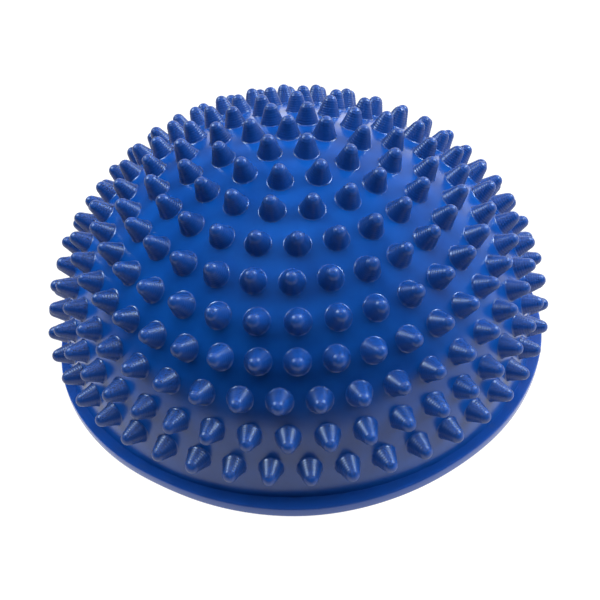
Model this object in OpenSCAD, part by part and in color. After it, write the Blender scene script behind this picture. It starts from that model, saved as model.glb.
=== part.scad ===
// Spiked half-ball for balance training: a hollow, air-filled dome that stands
// on a flat underside, covered all over with blunt cones and closed by a valve.
// Millimetres. Origin at the middle of the underside, +Z up, front towards -Y.

/* [Dome] */
// Radius at which the side curve would stand upright
dome_radius = 75.5; // [72:0.5:76]
// Radius of the side curve between the wall's foot and the crown
shoulder_radius = 59; // [55:0.5:62]
// Lean of the straight wall below the side curve, in degrees
wall_lean = 12; // [8:0.5:13]
// Radius of the flatter curve over the crown
crown_radius = 86; // [84:0.5:92]
// Height above the underside of the side curve's centre
shoulder_start = 4.8; // [4.2:0.1:6]
// Thickness of the moulded skin
wall = 2.8; // [2:0.1:4]

/* [Rim and underside] */
// Radius of the rim that runs round the foot of the dome
rim_radius = 80; // [79:0.5:88]
// Height of the rim's flat top above the underside
rim_height = 3.6; // [3:0.1:4]
// Rounding of the rim's two outer edges
rim_edge_radius = 0.6; // [0.3:0.1:0.9]
// Inner radius of the ring that the pod stands on
foot_inner_radius = 68; // [60:0.5:70]
// How far the middle of the underside is drawn up inside that ring
underside_recess = 0.8; // [0.4:0.1:1.2]
// Thickness of the floor that closes the air chamber
floor_thickness = 3; // [2:0.1:4]

/* [Spikes] */
// Height of one spike above the skin
spike_height = 6; // [4:0.1:8]
// Radius of the spike's round tip
spike_tip_radius = 2; // [1.6:0.1:2.2]
// Lean of the spike's side from its own axis, in degrees
spike_taper = 18.5; // [14:0.5:20]
// Small flare where the spike runs into the skin
spike_flare = 0.35; // [0.2:0.05:0.5]
// Distance from one ring of spikes to the next, measured over the skin
ring_pitch = 10.15; // [9.8:0.05:10.2]
// Spikes in each ring, from the ring round the crown down to the rim
ring_counts = [6, 12, 18, 24, 30, 34, 40, 42, 45, 47];
// Where each ring's first spike stands, in degrees from the front
ring_turns = [27.5, 22, 10, 1.5, 11, 0, 8.5, 4, 5, 1];

/* [Valve] */
// Radius of the finger pocket round the plug
pocket_radius = 12; // [11:0.5:14]
// Height of the pocket's ceiling above the underside
pocket_ceiling = 6.6; // [6.2:0.1:7]
// Inner radius of the moulded boss that holds the collar
boss_bore_radius = 6; // [5.5:0.1:6.5]
// Height of the boss's upper end above the underside
boss_top = 20; // [18:0.5:24]
// Radius of the collar's bonded flange
collar_flange_radius = 10; // [9:0.5:10.5]
// Thickness of that flange
collar_flange_thickness = 1.2; // [1:0.1:1.4]
// Radius of the hole that air goes through
collar_bore_radius = 3.2; // [2.8:0.1:3.6]
// Radial gap between the plug's seal rings and the collar's hole
plug_clearance = 0.05; // [0.02:0.01:0.1]
// Length of the plug's stem
plug_stem_length = 12; // [10:0.5:13]
// Radius of the plug's head
plug_head_radius = 7; // [6:0.5:8]
// Thickness of the plug's head
plug_head_thickness = 1.5; // [1.2:0.1:1.8]

/* [Hidden] */
$fn = 96;
eps = 0.01;

skin_blue = [0.03, 0.22, 0.58];
collar_blue = [0.05, 0.16, 0.40];
plug_white = [0.86, 0.87, 0.84];

// The dome's outline is two arcs and a straight wall that meet without a
// corner: the crown, whose centre is on the axis, the shoulder, whose centre
// stands off it, and the wall, which leans in at the shoulder's lower end.
shoulder_centre_r = dome_radius - shoulder_radius;
join_angle = acos(shoulder_centre_r / (crown_radius - shoulder_radius));
crown_centre_z = shoulder_start - (crown_radius - shoulder_radius) * sin(join_angle);
crown_arc = crown_radius * (90 - join_angle) * PI / 180;
shoulder_arc = shoulder_radius * (join_angle - wall_lean) * PI / 180;
wall_top_r = shoulder_centre_r + shoulder_radius * cos(wall_lean);
wall_top_z = shoulder_start + shoulder_radius * sin(wall_lean);
// First ring of spikes that stands below the crown
first_band = floor(crown_arc / ring_pitch) + 1;

floor_top = underside_recess + floor_thickness;
pocket_plate_top = pocket_ceiling + floor_thickness;
boss_outer_radius = boss_bore_radius + wall;
collar_flange_bottom = pocket_ceiling - collar_flange_thickness;
plug_head_bottom = collar_flange_bottom - plug_head_thickness;
plug_stem_radius = collar_bore_radius - plug_clearance;

// The cone leaves the round tip where both have the same slope.
spike_shoulder_z = spike_height - spike_tip_radius * (1 - sin(spike_taper));
spike_shoulder_r = spike_tip_radius * cos(spike_taper);
spike_root = 1.2;

// Radius of the spike's cone at a height above the skin
function cone_radius(z) = spike_shoulder_r + (spike_shoulder_z - z) * tan(spike_taper);

// Lean of the skin's outward normal above the horizon, at a distance from the
// top of the crown measured over the skin
function normal_angle(arc) =
    arc <= crown_arc
    ? 90 - arc / crown_radius * 180 / PI
    : max(wall_lean, join_angle - (arc - crown_arc) / shoulder_radius * 180 / PI);

// How far down the straight wall that point is
function down_wall(arc) = max(0, arc - crown_arc - shoulder_arc);

// Distance of that point from the axis
function skin_r(arc) =
    arc <= crown_arc
    ? crown_radius * cos(normal_angle(arc))
    : shoulder_centre_r + shoulder_radius * cos(normal_angle(arc))
        + down_wall(arc) * sin(wall_lean);

// Height of that point above the underside
function skin_z(arc) =
    arc <= crown_arc
    ? crown_centre_z + crown_radius * sin(normal_angle(arc))
    : shoulder_start + shoulder_radius * sin(normal_angle(arc))
        - down_wall(arc) * cos(wall_lean);

// Each ring of spikes stands on a spherical band whose centre is on the axis,
// so that every spike points straight out from its band's centre.
function band_centre(arc) = skin_z(arc) - skin_r(arc) * tan(normal_angle(arc));
function band_radius(arc) = skin_r(arc) / cos(normal_angle(arc));

// Half of the dome's outer section: the crown's circle and the bands' circles
// hold the dome between them down to the lowest spikes, and below these the
// wall runs straight to the floor
module outer_section() {
    last = len(ring_counts) * ring_pitch;
    foot_top = skin_z(last) - cone_radius(0) - 2 * spike_flare;
    foot_top_r = sqrt(pow(band_radius(last), 2) - pow(foot_top - band_centre(last), 2));
    intersection() {
        translate([0, crown_centre_z])
            circle(r = crown_radius);
        intersection_for(k = [first_band : len(ring_counts)])
            translate([0, band_centre(k * ring_pitch)])
                circle(r = band_radius(k * ring_pitch));
        translate([0, foot_top])
            square([2 * rim_radius, 2 * rim_radius]);
    }
    polygon([
        [0, 0],
        [wall_top_r + wall_top_z * tan(wall_lean), 0],
        [foot_top_r, foot_top],
        [0, foot_top],
    ]);
}

// Half of the air chamber's section: the same outline, moved in by the wall
module chamber_section() {
    far = 2 * crown_radius;
    side_r = shoulder_centre_r + (shoulder_radius - wall) * cos(wall_lean);
    side_z = shoulder_start + (shoulder_radius - wall) * sin(wall_lean);
    join_r = (crown_radius - wall) * cos(join_angle);
    join_z = crown_centre_z + (crown_radius - wall) * sin(join_angle);
    // the space inside the ends of both arcs
    polygon([
        [0, floor_top],
        [side_r + (side_z - floor_top) * tan(wall_lean), floor_top],
        [side_r, side_z],
        [join_r, join_z],
        [0, join_z],
    ]);
    // crown
    intersection() {
        translate([0, crown_centre_z])
            circle(r = crown_radius - wall);
        polygon([[0, join_z - wall], [join_r, join_z], [join_r, far], [0, far]]);
    }
    // shoulder
    intersection() {
        translate([shoulder_centre_r, shoulder_start])
            circle(r = shoulder_radius - wall);
        polygon([
            [shoulder_centre_r, shoulder_start],
            [shoulder_centre_r + far, shoulder_start + far * tan(wall_lean)],
            [shoulder_centre_r + far, shoulder_start + far * tan(join_angle)],
        ]);
    }
}

// Half of the flat rim's section, with its two rounded outer edges
module rim_section() {
    inner = dome_radius - wall - 1;
    edge_r = rim_radius - rim_edge_radius;
    translate([inner, 0])
        square([edge_r - inner, rim_height]);
    translate([inner, rim_edge_radius])
        square([rim_radius - inner, rim_height - 2 * rim_edge_radius]);
    translate([edge_r, rim_edge_radius])
        circle(r = rim_edge_radius);
    translate([edge_r, rim_height - rim_edge_radius])
        circle(r = rim_edge_radius);
}

// The moulding without its spikes: one section turned about the axis
module plain_shell() {
    rotate_extrude()
        difference() {
            union() {
                difference() {
                    union() {
                        outer_section();
                        rim_section();
                    }
                    chamber_section();
                }
                // plate over the finger pocket, and the boss that grips the collar
                square([pocket_radius + wall, pocket_plate_top]);
                square([boss_outer_radius, boss_top]);
            }
            // middle of the underside, finger pocket and the hole for the collar
            translate([-1, -1])
                square([1 + foot_inner_radius, 1 + underside_recess]);
            translate([-1, -1])
                square([1 + pocket_radius, 1 + pocket_ceiling]);
            translate([-1, -1])
                square([1 + boss_bore_radius, 2 + boss_top]);
        }
}

// One spike standing on the skin at z = 0, with its root sunk into the wall
module spike() {
    foot_radius = cone_radius(spike_flare) + spike_flare;
    rotate_extrude()
        union() {
            polygon([
                [0, -spike_root],
                [foot_radius, -spike_root],
                [foot_radius, 0],
                [cone_radius(spike_flare), spike_flare],
                [spike_shoulder_r, spike_shoulder_z],
                [0, spike_shoulder_z],
            ]);
            intersection() {
                translate([0, spike_height - spike_tip_radius])
                    circle(r = spike_tip_radius);
                translate([0, spike_shoulder_z - eps])
                    square([spike_tip_radius, spike_tip_radius]);
            }
        }
}

// A ring of spikes standing square to the skin at one distance from the crown
module spike_ring(arc, count, turn) {
    translate([0, 0, band_centre(arc)])
        for (i = [0 : count - 1])
            rotate([0, 0, turn - 90 + i * 360 / count])
                rotate([0, 90 - normal_angle(arc), 0])
                    translate([0, 0, band_radius(arc)])
                        spike();
}

module dome_shell() {
    color(skin_blue) {
        plain_shell();
        // the single spike on the crown, then the rings below it
        translate([0, 0, crown_centre_z + crown_radius])
            spike();
        for (k = [1 : len(ring_counts)])
            spike_ring(k * ring_pitch, ring_counts[k - 1], ring_turns[k - 1]);
    }
}

module valve_collar() {
    color(collar_blue)
        difference() {
            union() {
                translate([0, 0, collar_flange_bottom])
                    cylinder(h = collar_flange_thickness, r = collar_flange_radius);
                translate([0, 0, collar_flange_bottom])
                    cylinder(h = boss_top - collar_flange_bottom, r = boss_bore_radius);
            }
            translate([0, 0, collar_flange_bottom - 1])
                cylinder(h = boss_top - collar_flange_bottom + 2, r = collar_bore_radius);
        }
}

module valve_plug() {
    stem_bottom = plug_head_bottom + plug_head_thickness;
    core_radius = plug_stem_radius - 0.45;
    ring_height = 2.2;
    color(plug_white)
        union() {
            // head with a bevelled edge to get a fingernail under
            translate([0, 0, plug_head_bottom])
                cylinder(h = 0.5, r1 = plug_head_radius - 0.5, r2 = plug_head_radius);
            translate([0, 0, plug_head_bottom + 0.5])
                cylinder(h = plug_head_thickness - 0.5, r = plug_head_radius);
            // stem, thinner between its two seal rings, with a pointed end
            translate([0, 0, stem_bottom - eps])
                cylinder(h = plug_stem_length - 1.5 + eps, r = core_radius);
            translate([0, 0, stem_bottom - eps])
                cylinder(h = ring_height + eps, r = plug_stem_radius);
            translate([0, 0, stem_bottom + plug_stem_length - 1.5 - ring_height])
                cylinder(h = ring_height, r = plug_stem_radius);
            translate([0, 0, stem_bottom + plug_stem_length - 1.5])
                cylinder(h = 1.5, r1 = plug_stem_radius, r2 = 1.6);
        }
}

dome_shell();
valve_collar();
valve_plug();
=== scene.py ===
import math
import random

import bpy
from mathutils import Matrix, Vector, noise


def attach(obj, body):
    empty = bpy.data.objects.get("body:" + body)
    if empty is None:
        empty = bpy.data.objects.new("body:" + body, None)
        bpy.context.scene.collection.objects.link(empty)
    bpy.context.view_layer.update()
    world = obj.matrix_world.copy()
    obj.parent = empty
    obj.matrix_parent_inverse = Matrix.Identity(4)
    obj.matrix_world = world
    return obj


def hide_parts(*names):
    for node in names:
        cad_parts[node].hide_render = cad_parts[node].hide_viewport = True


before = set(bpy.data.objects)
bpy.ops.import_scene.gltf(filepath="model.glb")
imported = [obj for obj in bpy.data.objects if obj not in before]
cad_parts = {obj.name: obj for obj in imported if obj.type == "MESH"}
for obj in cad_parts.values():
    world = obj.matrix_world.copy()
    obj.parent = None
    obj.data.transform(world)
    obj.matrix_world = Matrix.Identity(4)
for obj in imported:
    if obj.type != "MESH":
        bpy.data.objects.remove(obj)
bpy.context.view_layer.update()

MM = 0.001

# ---------------------------------------------------------------- sizes, in mm
# The same sizes as part.scad has.
DOME_RADIUS = 75.5
SHOULDER_RADIUS = 59.0
WALL_LEAN = math.radians(12)
CROWN_RADIUS = 86.0
SHOULDER_START = 4.8
WALL = 2.8
RIM_RADIUS = 80.0
RIM_HEIGHT = 3.6
RIM_EDGE = 0.6
FOOT_INNER = 68.0
RECESS = 0.8
FLOOR_THICKNESS = 3.0
POCKET_RADIUS = 12.0
POCKET_CEILING = 6.6
BOSS_BORE = 6.0
BOSS_TOP = 20.0
SPIKE_HEIGHT = 6.0
SPIKE_TIP = 2.0
SPIKE_TAPER = math.radians(18.5)
SPIKE_ROOT = 1.2
RING_PITCH = 10.15
# Spikes in each ring, and where its first one stands, in degrees from the front.
# No rule gives these two lists. A program fitted them to the photograph.
RING_COUNTS = [6, 12, 18, 24, 30, 34, 40, 42, 45, 47]
RING_TURNS = [27.5, 22, 10, 1.5, 11, 0, 8.5, 4, 5, 1]

# The fillet round a spike's foot, and how finely the meshes are divided
FILLET = 0.5
SPIKE_SIDES = 16
SKIN_SIDES = 288
SKIN_ROWS = 92

FLOOR_TOP = RECESS + FLOOR_THICKNESS
PLATE_TOP = POCKET_CEILING + FLOOR_THICKNESS
BOSS_OUTER = BOSS_BORE + WALL
SHOULDER_CENTRE_R = DOME_RADIUS - SHOULDER_RADIUS
JOIN_ANGLE = math.acos(SHOULDER_CENTRE_R / (CROWN_RADIUS - SHOULDER_RADIUS))
CROWN_CENTRE_Z = SHOULDER_START - (CROWN_RADIUS - SHOULDER_RADIUS) * math.sin(JOIN_ANGLE)
CROWN_ARC = CROWN_RADIUS * (math.pi / 2 - JOIN_ANGLE)
SHOULDER_ARC = SHOULDER_RADIUS * (JOIN_ANGLE - WALL_LEAN)
WALL_TOP_R = SHOULDER_CENTRE_R + SHOULDER_RADIUS * math.cos(WALL_LEAN)
WALL_TOP_Z = SHOULDER_START + SHOULDER_RADIUS * math.sin(WALL_LEAN)
WALL_ARC = (WALL_TOP_Z - RIM_HEIGHT) / math.cos(WALL_LEAN)
FOOT_ARC = CROWN_ARC + SHOULDER_ARC + WALL_ARC
FOOT_RADIUS = WALL_TOP_R + WALL_ARC * math.sin(WALL_LEAN)

# Where the soft rim is out of round: (degrees from the front, mm, width in degrees)
RIM_DENTS = [(-84, -1.1, 13), (-30, -0.35, 9), (0, 0.65, 15), (34, -0.4, 12), (76, 0.55, 13),
             (140, -0.4, 20), (-150, 0.35, 20)]

# How far the inflated skin hangs in at the back, and where it does so further:
# (direction seen from inside, mm, width in degrees)
SLACK_AT_BACK = 1.5
SLACK = [((-0.85, 0.36, 0.39), 2.3, 20), ((0.87, 0.33, 0.37), 0.9, 18)]
# How far the wall is drawn in at the front, and the skin wanders all over
WALL_DRAWN_IN = 0.3
SLOW_WANDER = 0.34
QUICK_WANDER = 0.11
# Blender seeds the wander's noise from the clock unless it is given a seed
WANDER_SEED = 3
SPIKE_SEED = 20

# ------------------------------------------------------- looks, and the camera
# painted light: the lighter blue the rim is painted with
RIM_PAINTED_LIGHT = (0.008, 0.066, 0.34, 1)
COOL_WHITE = (0.62, 0.79, 1.0)
PALE_VIOLET = (0.86, 0.84, 1.0)

# Fitted to the photograph together with the rings. Lengths are in mm.
CAMERA_ELEVATION = math.radians(41.98)
CAMERA_ROLL = math.radians(-2.77)
CAMERA_AIM = Vector((0.9, 0.0, 5.76))
CAMERA_DISTANCE = 272.3
SENSOR_WIDTH = 36.0
LENS = 48.342


# ------------------------------------------------------------- the dome's skin
def normal_angle(arc):
    """Lean of the skin's normal above the horizon, arc mm from the top of the crown."""
    if arc <= CROWN_ARC:
        return math.pi / 2 - arc / CROWN_RADIUS
    return max(WALL_LEAN, JOIN_ANGLE - (arc - CROWN_ARC) / SHOULDER_RADIUS)


def skin_section(arc):
    """Radius and height of the skin, arc mm from the top of the crown."""
    lean = normal_angle(arc)
    if arc <= CROWN_ARC:
        return CROWN_RADIUS * math.cos(lean), CROWN_CENTRE_Z + CROWN_RADIUS * math.sin(lean)
    down = max(0.0, arc - CROWN_ARC - SHOULDER_ARC)
    return (SHOULDER_CENTRE_R + SHOULDER_RADIUS * math.cos(lean) + down * math.sin(WALL_LEAN),
            SHOULDER_START + SHOULDER_RADIUS * math.sin(lean) - down * math.cos(WALL_LEAN))


def skin_point(arc, turn):
    """Point of the skin and its normal; turn is the angle round the axis."""
    r, z = skin_section(arc)
    lean = normal_angle(arc)
    point = Vector((r * math.cos(turn), r * math.sin(turn), z))
    normal = Vector((math.cos(lean) * math.cos(turn), math.cos(lean) * math.sin(turn), math.sin(lean)))
    return point, normal


def nearest_on_skin(p):
    """The skin's point nearest to p."""
    r = math.hypot(p.x, p.y)
    turn = math.atan2(p.y, p.x)
    lean = math.atan2(p.z - CROWN_CENTRE_Z, r)
    if lean >= JOIN_ANGLE:
        return skin_point(CROWN_RADIUS * (math.pi / 2 - lean), turn)[0]
    lean = math.atan2(p.z - SHOULDER_START, r - SHOULDER_CENTRE_R)
    if lean >= WALL_LEAN:
        return skin_point(CROWN_ARC + SHOULDER_RADIUS * (JOIN_ANGLE - lean), turn)[0]
    down = (r - WALL_TOP_R) * math.sin(WALL_LEAN) + (WALL_TOP_Z - p.z) * math.cos(WALL_LEAN)
    return skin_point(CROWN_ARC + SHOULDER_ARC + down, turn)[0]


def share(value):
    """value, held between 0 and 1."""
    return min(1.0, max(0.0, value))


def fading(away, width):
    """1 in the middle of a dent and less further away; both are in degrees."""
    return math.exp(-(away / width) ** 2)


def moulded(p):
    """The point of the soft, slightly uneven moulding that stands for the exact point p."""
    r = math.hypot(p.x, p.y)
    if r < 1e-6:
        return p
    # the rim moves out or in with its dents, and the wall above it at the front
    degrees = math.degrees(math.atan2(p.x, -p.y))
    dent = 0.0
    for at, depth, width in RIM_DENTS:
        dent += depth * fading((degrees - at + 180) % 360 - 180, width)
    outer = share((r - FOOT_RADIUS) / 2.0) * (p.z < RIM_HEIGHT + 0.1)
    inward = WALL_DRAWN_IN * fading(degrees, 35) * share((14 - p.z) / 8) * (r > 60)
    flat = (dent * outer - inward * (1 - outer)) / r
    # higher up the skin hangs in and wanders, more so the further from its foot
    hold = share((p.z - 4.0) / 10.0)
    out = (p - Vector((0, 0, SHOULDER_START))).normalized()
    slack = SLACK_AT_BACK * share(out.y / 0.6)
    for way, depth, width in SLACK:
        slack += depth * fading(math.degrees(out.angle(Vector(way))), width)
    slow = noise.noise_vector(p / 24.0 + Vector((3.1, 7.7, 1.3)))
    quick = noise.noise_vector(p / 8.0 + Vector((8.2, 0.4, 5.9)))
    return (Vector((p.x * (1 + flat), p.y * (1 + flat), p.z))
            + hold * (SLOW_WANDER * slow + QUICK_WANDER * quick - slack * out))


class Surface:
    """Collects the vertices and faces of one closed mesh."""

    def __init__(self):
        self.verts = []
        self.height = []
        self.seed = []
        self.faces = []

    def add(self, p, height=0.0, seed=0.0):
        """Adds a point, with its height up a spike and that spike's seed, and gives its number."""
        self.verts.append(Vector(p))
        self.height.append(height)
        self.seed.append(seed)
        return len(self.verts) - 1

    def bridge(self, low, high):
        """Quads between two closed loops of the same length."""
        n = len(low)
        for i in range(n):
            j = (i + 1) % n
            self.faces.append((low[i], low[j], high[j], high[i]))

    def fan(self, loop, tip):
        """Triangles from a closed loop to one point."""
        n = len(loop)
        for i in range(n):
            self.faces.append((loop[i], loop[(i + 1) % n], tip))

    def make(self, name, sharp):
        """The object; edges of more than sharp degrees stay sharp."""
        mesh = bpy.data.meshes.new(name)
        mesh.from_pydata([moulded(p) * MM for p in self.verts], [], self.faces)
        mesh.validate()
        for key, values in (("spike_height", self.height), ("spike_seed", self.seed)):
            mesh.attributes.new(key, "FLOAT", "POINT").data.foreach_set("value", values)
        mesh.shade_smooth()
        mesh.set_sharp_from_angle(angle=math.radians(sharp))
        mesh.update()
        obj = bpy.data.objects.new(name, mesh)
        bpy.context.scene.collection.objects.link(obj)
        return obj


def arc_points(r, z, radius, start, end, steps):
    """Points along an arc round (r, z), from start to end in degrees."""
    return [(r + radius * math.cos(math.radians(start + (end - start) * i / steps)),
             z + radius * math.sin(math.radians(start + (end - start) * i / steps)))
            for i in range(steps + 1)]


def skin_outline():
    """(radius, height) from the crown over the skin, rim, underside and air chamber."""
    pts = [skin_section(FOOT_ARC * i / SKIN_ROWS) for i in range(1, SKIN_ROWS + 1)]
    foot_r = pts[-1][0]
    # rim, with a point beside each corner that keeps it crisp
    pts += [(foot_r + 0.12, RIM_HEIGHT - 0.02), (foot_r + 1.0, RIM_HEIGHT)]
    pts += arc_points(RIM_RADIUS - RIM_EDGE, RIM_HEIGHT - RIM_EDGE, RIM_EDGE, 90, 0, 5)
    pts += arc_points(RIM_RADIUS - RIM_EDGE, RIM_EDGE, RIM_EDGE, 0, -90, 4)
    # underside; the bare radii only divide its flat stretches
    pts += [(74, 0), (FOOT_INNER + 0.3, 0), (FOOT_INNER, 0.3), (FOOT_INNER, RECESS - 0.1)]
    pts += [(FOOT_INNER - 0.2, RECESS), (50, RECESS), (30, RECESS)]
    pts += [(POCKET_RADIUS + 0.4, RECESS), (POCKET_RADIUS + 0.1, RECESS + 0.1)]
    # finger pocket, boss and the floor of the air chamber
    pts += [(POCKET_RADIUS, RECESS + 0.4), (POCKET_RADIUS, POCKET_CEILING)]
    pts += [(BOSS_BORE, POCKET_CEILING), (BOSS_BORE, BOSS_TOP), (BOSS_OUTER, BOSS_TOP)]
    pts += [(BOSS_OUTER, PLATE_TOP), (POCKET_RADIUS + WALL, PLATE_TOP)]
    pts += [(POCKET_RADIUS + WALL, FLOOR_TOP), (30, FLOOR_TOP), (55, FLOOR_TOP)]
    side = SHOULDER_RADIUS - WALL
    lean = math.degrees(WALL_LEAN)
    inner = arc_points(SHOULDER_CENTRE_R, SHOULDER_START, side, lean, math.degrees(JOIN_ANGLE), 12)
    pts += [(inner[0][0] + (inner[0][1] - FLOOR_TOP) * math.tan(WALL_LEAN), FLOOR_TOP)]
    pts += inner
    pts += arc_points(0, CROWN_CENTRE_Z, CROWN_RADIUS - WALL, math.degrees(JOIN_ANGLE), 88, 10)[1:]
    return pts


def build_skin():
    """The dome without its spikes: one closed outline turned about the axis."""
    surface = Surface()
    first = loop = None
    for r, z in skin_outline():
        nxt = []
        for i in range(SKIN_SIDES):
            turn = 2 * math.pi * i / SKIN_SIDES
            nxt.append(surface.add((r * math.cos(turn), r * math.sin(turn), z)))
        if loop is None:
            first = nxt
        else:
            surface.bridge(nxt, loop)
        loop = nxt
    surface.fan(first, surface.add((0, 0, CROWN_CENTRE_Z + CROWN_RADIUS)))
    surface.fan(loop[::-1], surface.add((0, 0, CROWN_CENTRE_Z + CROWN_RADIUS - WALL)))
    return surface.make("dome_skin", 30)


# ------------------------------------------------------------------ the spikes
def spike_places():
    """(arc, turn) of every spike, the crown's first."""
    places = [(0.0, 0.0)]
    for ring, (count, first) in enumerate(zip(RING_COUNTS, RING_TURNS), start=1):
        for i in range(count):
            places.append((ring * RING_PITCH, math.radians(first - 90 + i * 360 / count)))
    return places


def spike_outline(rng, crisp):
    """(radius, height) up one spike's side, from the fillet's foot to the tip."""
    top_z = SPIKE_HEIGHT - SPIKE_TIP * (1 - math.sin(SPIKE_TAPER))
    top_r = SPIKE_TIP * math.cos(SPIKE_TAPER)

    def cone(z):
        return top_r + (top_z - z) * math.tan(SPIKE_TAPER)

    low_z = FILLET * (1 - math.sin(SPIKE_TAPER))
    centre_r = cone(low_z) + FILLET * math.cos(SPIKE_TAPER)
    rows = []
    for step in range(4):
        a = math.radians(90) - (math.radians(90) - SPIKE_TAPER) * step / 3
        rows.append((centre_r - FILLET * math.cos(a), FILLET * (1 - math.sin(a)) - 0.02))
    # the turned steps that the mould left round every spike
    steps = 6
    for step in range(1, 2 * steps + 1):
        z = low_z + (top_z - low_z) * (step + rng.uniform(-0.14, 0.14)) / (2 * steps)
        ripple = crisp * ((0.055 if step % 2 else -0.04) + rng.uniform(-0.015, 0.015))
        if step == 2 * steps:
            z, ripple = top_z, 0.0
        rows.append((cone(z) + ripple, z))
    for step in range(1, 4):
        a = SPIKE_TAPER + (math.radians(90) - SPIKE_TAPER) * step / 4
        rows.append((SPIKE_TIP * math.cos(a), SPIKE_HEIGHT - SPIKE_TIP + SPIKE_TIP * math.sin(a)))
    return rows


def add_spike(surface, arc, turn, rng):
    """One closed spike whose root is sunk in the skin."""
    base, normal = skin_point(arc, turn)
    side = Vector((-math.sin(turn), math.cos(turn), 0.0))
    up = normal.cross(side)
    axis = (normal + rng.gauss(0, 0.02) * side + rng.gauss(0, 0.02) * up).normalized()
    seed = rng.random()
    tall = 1 - rng.uniform(0.01, 0.04)
    angles = [2 * math.pi * i / SPIKE_SIDES for i in range(SPIKE_SIDES)]
    # the steps are crisp near the crown and softer lower down
    rows = spike_outline(rng, 1.0 - 0.7 * share(arc / FOOT_ARC))
    foot_r = rows[0][0]
    root = [surface.add(base + (foot_r - 0.3) * (math.cos(w) * side + math.sin(w) * up)
                        - SPIKE_ROOT * normal, 0.0, seed) for w in angles]
    surface.fan(root[::-1], surface.add(base - SPIKE_ROOT * normal, 0.0, seed))
    # the foot follows the curved skin, and the side is round again five rows up
    loop = root
    for k, (radius, z) in enumerate(rows):
        grip = share(k / 5)
        nxt = []
        for w in angles:
            out = math.cos(w) * side + math.sin(w) * up
            sag = (nearest_on_skin(base + foot_r * out) - base).dot(normal)
            lean = (axis - normal) * z * tall
            nxt.append(surface.add(base + radius * out + lean
                                   + normal * (z * tall + sag * (1 - grip) * (radius / foot_r) ** 2),
                                   max(z, 0.0), seed))
        surface.bridge(loop, nxt)
        loop = nxt
    surface.fan(loop, surface.add(base + axis * (SPIKE_HEIGHT * tall), SPIKE_HEIGHT, seed))


def build_spikes():
    """All the spikes, as one mesh of closed pieces."""
    rng = random.Random(SPIKE_SEED)
    surface = Surface()
    for arc, turn in spike_places():
        add_spike(surface, arc, turn, rng)
    return surface.make("dome_spikes", 40)


# ------------------------------------------------------------------- materials
def new_material(name):
    """An empty material with a Principled shader on its surface."""
    mat = bpy.data.materials.new(name)
    mat.use_nodes = True
    tree = mat.node_tree
    tree.nodes.clear()
    out = tree.nodes.new("ShaderNodeOutputMaterial")
    shader = tree.nodes.new("ShaderNodeBsdfPrincipled")
    tree.links.new(shader.outputs["BSDF"], out.inputs["Surface"])
    return mat, tree, shader


def add_node(tree, kind, **values):
    """A new node, with values for its inputs or its settings."""
    node = tree.nodes.new(kind)
    for key, value in values.items():
        if key in node.inputs:
            node.inputs[key].default_value = value
        else:
            setattr(node, key, value)
    return node


def math_node(tree, operation, *values):
    """A Math node's result; each value is a number or another node's output."""
    node = tree.nodes.new("ShaderNodeMath")
    node.operation = operation
    for socket, value in zip(node.inputs, values):
        if isinstance(value, (int, float)):
            socket.default_value = value
        else:
            tree.links.new(value, socket)
    return node.outputs[0]


def mix_colour(tree, factor, a, b):
    """Colour a where factor is 0 and b where it is 1."""
    node = tree.nodes.new("ShaderNodeMix")
    node.data_type = "RGBA"
    for socket, value in ((node.inputs[0], factor), (node.inputs[6], a), (node.inputs[7], b)):
        if isinstance(value, (int, float, tuple)):
            socket.default_value = value
        else:
            tree.links.new(value, socket)
    return node.outputs[2]


def map_range(tree, value, low, high, start, end, smooth=False):
    """start where value is low, end where it is high, and held beyond both."""
    node = tree.nodes.new("ShaderNodeMapRange")
    if smooth:
        node.interpolation_type = "SMOOTHSTEP"
    tree.links.new(value, node.inputs["Value"])
    limits = {"From Min": low, "From Max": high, "To Min": start, "To Max": end}
    for key, limit in limits.items():
        node.inputs[key].default_value = limit
    return node.outputs["Result"]


def noise_texture(tree, coords, **values):
    """A noise texture's strength at coords."""
    node = add_node(tree, "ShaderNodeTexNoise", **values)
    tree.links.new(coords, node.inputs["Vector"])
    return node.outputs["Fac"]


def separate(tree, coords):
    """The X, Y and Z of coords."""
    node = add_node(tree, "ShaderNodeSeparateXYZ")
    tree.links.new(coords, node.inputs[0])
    return node.outputs["X"], node.outputs["Y"], node.outputs["Z"]


def set_bump(tree, shader, height, strength, distance):
    """Roughens the shader's surface; distance is in metres."""
    bump = add_node(tree, "ShaderNodeBump", Strength=strength, Distance=distance)
    tree.links.new(height, bump.inputs["Height"])
    tree.links.new(bump.outputs["Normal"], shader.inputs["Normal"])


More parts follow.
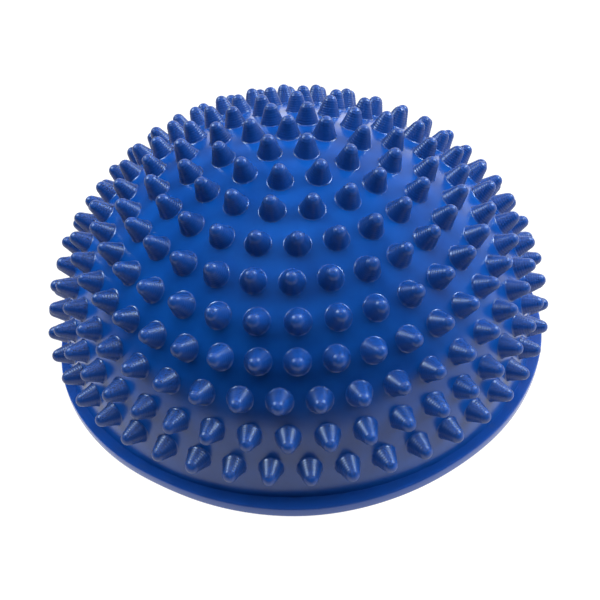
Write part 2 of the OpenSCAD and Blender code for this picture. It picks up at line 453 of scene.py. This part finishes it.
def pvc_material(name, dark, light, rough, foot_rough, gloss, ring_strength):
    """Blue PVC, mottled from dark to light, with fine rings round each spike."""
    mat, tree, shader = new_material(name)
    link = tree.links.new
    coords = add_node(tree, "ShaderNodeTexCoord").outputs["Object"]
    height = add_node(tree, "ShaderNodeAttribute", attribute_name="spike_height").outputs["Fac"]
    seed = add_node(tree, "ShaderNodeAttribute", attribute_name="spike_seed").outputs["Fac"]
    z = separate(tree, coords)[2]

    mottle = noise_texture(tree, coords, Scale=70.0, Detail=5.0, Roughness=0.6)
    body = mix_colour(tree, math_node(tree, "MULTIPLY_ADD", seed, 0.35, mottle), dark, light)
    # the rim, where two layers are welded, is painted a little lighter, as painted light on it
    rim_painted_light_mask = map_range(tree, z, RIM_HEIGHT * MM, (RIM_HEIGHT + 0.5) * MM, 1.0, 0.0)
    link(mix_colour(tree, rim_painted_light_mask, body, RIM_PAINTED_LIGHT), shader.inputs["Base Color"])

    # foot_rough in the fillet at a spike's foot, rough up its turned side
    dull = map_range(tree, height, 0.3, 0.9, foot_rough, rough)
    link(math_node(tree, "MULTIPLY_ADD", mottle, 0.10, dull), shader.inputs["Roughness"])
    shader.inputs["IOR"].default_value = 1.5
    shader.inputs["Specular IOR Level"].default_value = gloss

    # fine tool marks round each spike, cut unevenly, and a grain all over
    wobble = noise_texture(tree, coords, Scale=520.0, Detail=2.0)
    phase = math_node(tree, "MULTIPLY_ADD", seed, 31.0, math_node(tree, "MULTIPLY", wobble, 3.0))
    turned = math_node(tree, "ADD", math_node(tree, "MULTIPLY", height, 9.0), phase)
    crisp = map_range(tree, z, 0.02, 0.06, 0.7, 1.0)
    rings = math_node(tree, "MULTIPLY", math_node(tree, "SINE", turned), crisp)
    speck = noise_texture(tree, coords, Scale=700.0, Detail=3.0)
    marks = math_node(tree, "ADD", math_node(tree, "MULTIPLY", rings, ring_strength),
                      math_node(tree, "MULTIPLY", speck, 0.9))
    set_bump(tree, shader, marks, 0.6, 0.03 * MM)
    return mat


def moulded_material(name, light, dark, rough):
    """Plain moulded plastic with a faint cloud and a fine grain."""
    mat, tree, shader = new_material(name)
    link = tree.links.new
    coords = add_node(tree, "ShaderNodeTexCoord").outputs["Object"]
    cloud = noise_texture(tree, coords, Scale=160.0, Detail=4.0)
    link(mix_colour(tree, cloud, dark, light), shader.inputs["Base Color"])
    link(math_node(tree, "MULTIPLY_ADD", cloud, 0.12, rough), shader.inputs["Roughness"])
    set_bump(tree, shader, noise_texture(tree, coords, Scale=2400.0, Detail=2.0), 0.25, 0.02 * MM)
    return mat


def floor_material():
    """A pale light table that is clear from below, so that the underside can be seen."""
    mat, tree, shader = new_material("pale_floor")
    link = tree.links.new
    coords = add_node(tree, "ShaderNodeTexCoord").outputs["Object"]
    cloud = noise_texture(tree, coords, Scale=3.0, Detail=3.0)
    link(mix_colour(tree, cloud, (0.10, 0.10, 0.10, 1), (0.12, 0.12, 0.12, 1)),
         shader.inputs["Base Color"])
    shader.inputs["Roughness"].default_value = 0.9
    shader.inputs["Specular IOR Level"].default_value = 0.0

    # the light from it stops short of the front, and sooner on the left
    x, y, _ = separate(tree, coords)
    right_of = math_node(tree, "MAXIMUM", math_node(tree, "SUBTRACT", x, 0.03), 0.0)
    left_of = math_node(tree, "MINIMUM", math_node(tree, "ADD", x, 0.10), 0.0)
    tilt = math_node(tree, "ADD", math_node(tree, "MULTIPLY", right_of, 0.8),
                     math_node(tree, "MULTIPLY", left_of, 0.5))
    lit = map_range(tree, math_node(tree, "ADD", y, tilt), -0.36, -0.15, 0.02, 1.0, smooth=True)
    path = add_node(tree, "ShaderNodeLightPath")
    glow = math_node(tree, "MAXIMUM", lit, path.outputs["Is Camera Ray"])
    shader.inputs["Emission Color"].default_value = (1, 1, 1, 1)
    link(glow, shader.inputs["Emission Strength"])

    clear = tree.nodes.new("ShaderNodeBsdfTransparent")
    facing = tree.nodes.new("ShaderNodeNewGeometry")
    both = tree.nodes.new("ShaderNodeMixShader")
    link(facing.outputs["Backfacing"], both.inputs[0])
    link(shader.outputs["BSDF"], both.inputs[1])
    link(clear.outputs["BSDF"], both.inputs[2])
    link(both.outputs["Shader"], tree.nodes["Material Output"].inputs["Surface"])
    return mat


# ------------------------------------------------------------------ the object
noise.seed_set(WANDER_SEED)
skin = build_skin()
skin.data.materials.append(pvc_material(
    "blue_pvc", dark=(0.0004, 0.026, 0.17, 1), light=(0.0050, 0.092, 0.43, 1),
    rough=0.17, foot_rough=0.17, gloss=0.5, ring_strength=0.0))
spikes = build_spikes()
# the spikes are the skin's blue PVC, painted darker as painted shade for the light they get less of
spikes.data.materials.append(pvc_material(
    "blue_pvc_spikes_painted_shade", dark=(0.0012, 0.027, 0.152, 1), light=(0.0030, 0.045, 0.235, 1),
    rough=0.35, foot_rough=0.27, gloss=0.5, ring_strength=1.1))
for piece in (skin, spikes):
    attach(piece, "dome")
    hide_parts("dome_shell")

collar_pvc = moulded_material(
    "collar_pvc", light=(0.02, 0.09, 0.30, 1), dark=(0.012, 0.06, 0.22, 1), rough=0.30)
plug_plastic = moulded_material(
    "plug_plastic", light=(0.80, 0.81, 0.78, 1), dark=(0.72, 0.73, 0.70, 1), rough=0.38)
for node, mat in (("valve_collar", collar_pvc), ("valve_plug", plug_plastic)):
    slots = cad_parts[node].data.materials
    if len(slots) == 0:
        slots.append(mat)
    for i in range(len(slots)):
        slots[i] = mat


# ------------------------------------------------------- floor, light, camera
def area_light(name, place, aim, size, power, colour=(1, 1, 1)):
    """A rectangular lamp at place that points at aim, in metres and watts."""
    data = bpy.data.lights.new(name, "AREA")
    data.shape = "RECTANGLE"
    data.size, data.size_y = size
    data.energy = power
    data.color = colour
    obj = bpy.data.objects.new(name, data)
    obj.location = place
    obj.rotation_euler = (Vector(aim) - Vector(place)).to_track_quat("-Z", "Y").to_euler()
    bpy.context.scene.collection.objects.link(obj)
    return obj


def receivers(name, piece):
    """A collection for a light that reaches this piece only."""
    collection = bpy.data.collections.new(name)
    collection.objects.link(piece)
    return collection


def light_spikes(light, gleams):
    """Makes a light reach the spikes only, either as a gleam or as a soft light without one."""
    light.visible_diffuse = not gleams
    light.visible_glossy = gleams
    light.data.use_shadow = False
    light.light_linking.receiver_collection = only_spikes


def studio_world():
    """Dark behind the camera, brighter overhead and at the back."""
    world = bpy.data.worlds.new("studio")
    world.use_nodes = True
    tree = world.node_tree
    link = tree.links.new
    background = tree.nodes["Background"]
    x, y, z = separate(tree, add_node(tree, "ShaderNodeTexCoord").outputs["Generated"])

    def ramp(value, low, high, start, end):
        return map_range(tree, value, low, high, start, end, smooth=True)

    def times(a, b):
        return math_node(tree, "MULTIPLY", a, b)

    def plus(a, b):
        return math_node(tree, "ADD", a, b)

    # back is 1 straight behind the object and -1 straight behind the camera
    level = math_node(tree, "SQRT", plus(times(x, x), times(y, y)))
    back = math_node(tree, "DIVIDE", y, math_node(tree, "MAXIMUM", level, 0.001))
    # the walls, brighter at the back and on the right, with a glow low behind
    walls = plus(ramp(back, -0.7, 0.1, 0.02, 0.30), ramp(back, 0.4, 1.0, 0.0, 0.25))
    walls = times(walls, ramp(x, -0.75, 0.6, 0.08, 1.7))
    glow = times(ramp(back, 0.3, 0.8, 0.0, 1.0), ramp(z, 0.12, 0.40, 1.7, 0.0))
    glow = times(glow, ramp(x, -0.55, -0.1, 0.1, 1.0))
    ceiling = ramp(z, 0.75, 1.0, 0.06, 0.18)
    mix = add_node(tree, "ShaderNodeMix", data_type="FLOAT")
    link(ramp(z, 0.55, 0.88, 0.0, 1.0), mix.inputs[0])
    link(plus(walls, glow), mix.inputs[2])
    link(ceiling, mix.inputs[3])
    path = add_node(tree, "ShaderNodeLightPath")
    seen = math_node(tree, "MAXIMUM", mix.outputs[0], path.outputs["Is Camera Ray"])
    background.inputs["Color"].default_value = (1.0, 1.0, 1.0, 1)
    link(seen, background.inputs["Strength"])
    return world


# the floor lies a hair under the foot ring, so that the two don't flicker
bpy.ops.mesh.primitive_plane_add(size=6.0, location=(0, 0, -0.02 * MM))
ground = bpy.context.object
ground.name = "ground"
ground.data.materials.append(floor_material())

only_spikes = receivers("only_spikes", spikes)
only_skin = receivers("only_skin", skin)

# wide soft lights above and at both sides, which leave no glare; the left one
# reaches the skin only
overhead = area_light("overhead", (0, 0.19, 0.86), (0, 0, 0.03), (1.7, 0.5), 14.0)
side_right = area_light("side_right", (0.8, 0.0, 0.45), (0, 0, 0.03), (0.5, 0.5), 6.2)
side_left = area_light("side_left", (-0.8, 0.1, 0.45), (0, 0, 0.03), (0.5, 0.5), 5.0)
for light in (overhead, side_right, side_left):
    light.visible_glossy = False
    light.data.cycles.use_multiple_importance_sampling = False
side_left.light_linking.receiver_collection = only_skin

# two lamps behind, left and right, that only gleam on the spikes
for name, way in (("lamp_left", -1), ("lamp_right", 1)):
    lamp = area_light(name, (0.673 * way, 0.329, 0.711), (0, 0, 0.05), (0.17, 0.17), 10.0,
                      COOL_WHITE)
    light_spikes(lamp, gleams=True)
# a broad, faint gleam on the spikes from above, and a fill from the front
sheen = area_light("sheen", (0, 0.3, 0.9), (0, 0, 0.05), (0.5, 0.4), 1.9, PALE_VIOLET)
light_spikes(sheen, gleams=True)
lift = area_light("lift", (0, -0.45, 0.8), (0, 0, 0.03), (0.4, 0.4), 3.2)
light_spikes(lift, gleams=False)

bpy.context.scene.world = studio_world()
bpy.context.scene.view_settings.view_transform = "Standard"

forward = Vector((0, math.cos(CAMERA_ELEVATION), -math.sin(CAMERA_ELEVATION)))
right = Vector((1, 0, 0))
up = right.cross(forward)
cam_right = math.cos(CAMERA_ROLL) * right + math.sin(CAMERA_ROLL) * up
cam_up = -math.sin(CAMERA_ROLL) * right + math.cos(CAMERA_ROLL) * up
camera_data = bpy.data.cameras.new("camera")
camera_data.sensor_width = SENSOR_WIDTH
camera_data.lens = LENS
camera_data.clip_start = 0.005
camera = bpy.data.objects.new("camera", camera_data)
axes = Matrix((cam_right, cam_up, -forward)).transposed()
eye = CAMERA_AIM * MM - forward * CAMERA_DISTANCE * MM
camera.matrix_world = Matrix.Translation(eye) @ axes.to_4x4()
bpy.context.scene.collection.objects.link(camera)
bpy.context.scene.camera = camera
